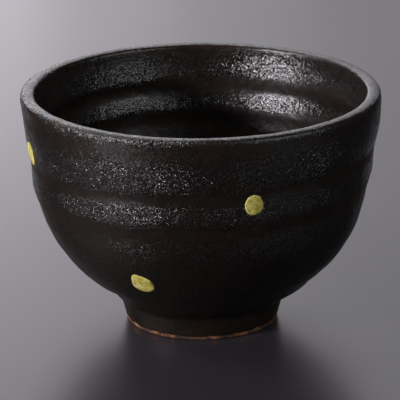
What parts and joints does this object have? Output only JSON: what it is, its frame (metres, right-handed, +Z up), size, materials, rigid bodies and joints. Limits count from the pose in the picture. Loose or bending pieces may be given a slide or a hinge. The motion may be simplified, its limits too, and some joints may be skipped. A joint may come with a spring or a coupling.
{
  "type": "matcha bowl",
  "caption": "Deep round tea bowl on a narrow foot ring, for whisking and drinking powdered tea: dark glaze over stoneware, with scattered yellow glaze dabs.",
  "frame": {"origin": "centre of the foot ring's resting edge, on the plane the bowl stands on", "axes": "+Z up, along the bowl's axis of revolution; -Y is the side the picture was taken from, +X is its right"},
  "size_m": [0.12, 0.12, 0.08],
  "materials": {
    "clay_bowl": "bare, matt, under the glaze",
    "foot_ring": "bare, matt at the resting edge",
    "dark_glaze_coat": "satin gloss, orange peel",
    "foot_well_glaze": "satin gloss",
    "yellow_dab_1": "satin, speckled",
    "yellow_dab_2": "satin, speckled",
    "yellow_dab_3": "satin, speckled",
    "yellow_dab_4": "satin, speckled",
    "yellow_dab_5": "satin, speckled",
    "yellow_dab_6": "satin, speckled",
    "yellow_dab_7": "satin, speckled",
    "yellow_dab_8": "satin, speckled"
  },
  "bodies": {
    "root": {"clay_bowl": "clay_bowl", "foot_ring": "foot_ring", "dark_glaze_coat": "dark_glaze_coat", "foot_well_glaze": "foot_well_glaze", "yellow_dab_1": "yellow_dab_1", "yellow_dab_2": "yellow_dab_2", "yellow_dab_3": "yellow_dab_3", "yellow_dab_4": "yellow_dab_4", "yellow_dab_5": "yellow_dab_5", "yellow_dab_6": "yellow_dab_6", "yellow_dab_7": "yellow_dab_7", "yellow_dab_8": "yellow_dab_8"}
  },
  "joints": []
}
